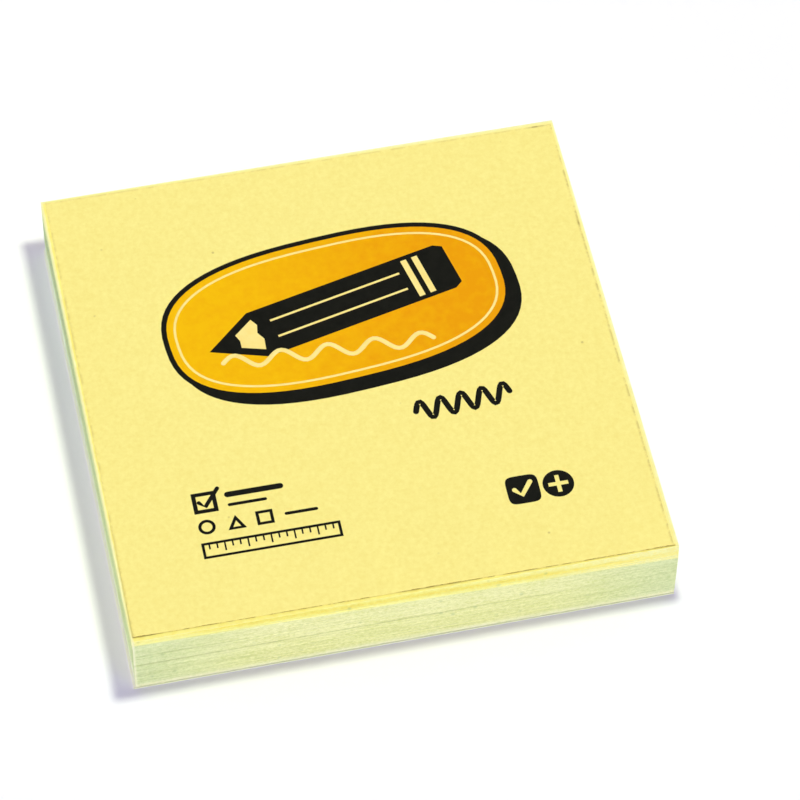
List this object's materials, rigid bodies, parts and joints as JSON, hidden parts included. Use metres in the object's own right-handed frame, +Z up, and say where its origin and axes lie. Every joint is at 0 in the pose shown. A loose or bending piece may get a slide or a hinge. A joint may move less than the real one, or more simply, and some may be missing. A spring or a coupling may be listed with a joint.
{
  "type": "sticky note pad",
  "caption": "Square pad of yellow self-stick notes with a printed cover sheet and a backing sheet, glued along its rear edge.",
  "frame": {"origin": "middle of the pad's underside, on the surface it rests on", "axes": "+X across the notes to the right of someone writing on them, +Y towards the glued rear edge, +Z up through the pad's thickness"},
  "size_m": [0.0764, 0.0764, 0.0121],
  "materials": {
    "cover_paper": "uncoated yellow paper, printed on top",
    "note_paper": "uncoated pale yellow paper, cut edges pale green-yellow",
    "backing_paper": "plain pale paper, smooth",
    "glue": "thin dried pressure-sensitive glue, matt and slightly translucent"
  },
  "bodies": {
    "root": {"cover_sheet": "cover_paper", "cover_glue": "glue", "note_block": "note_paper", "backing_glue": "glue", "backing_sheet": "backing_paper"}
  },
  "joints": []
}
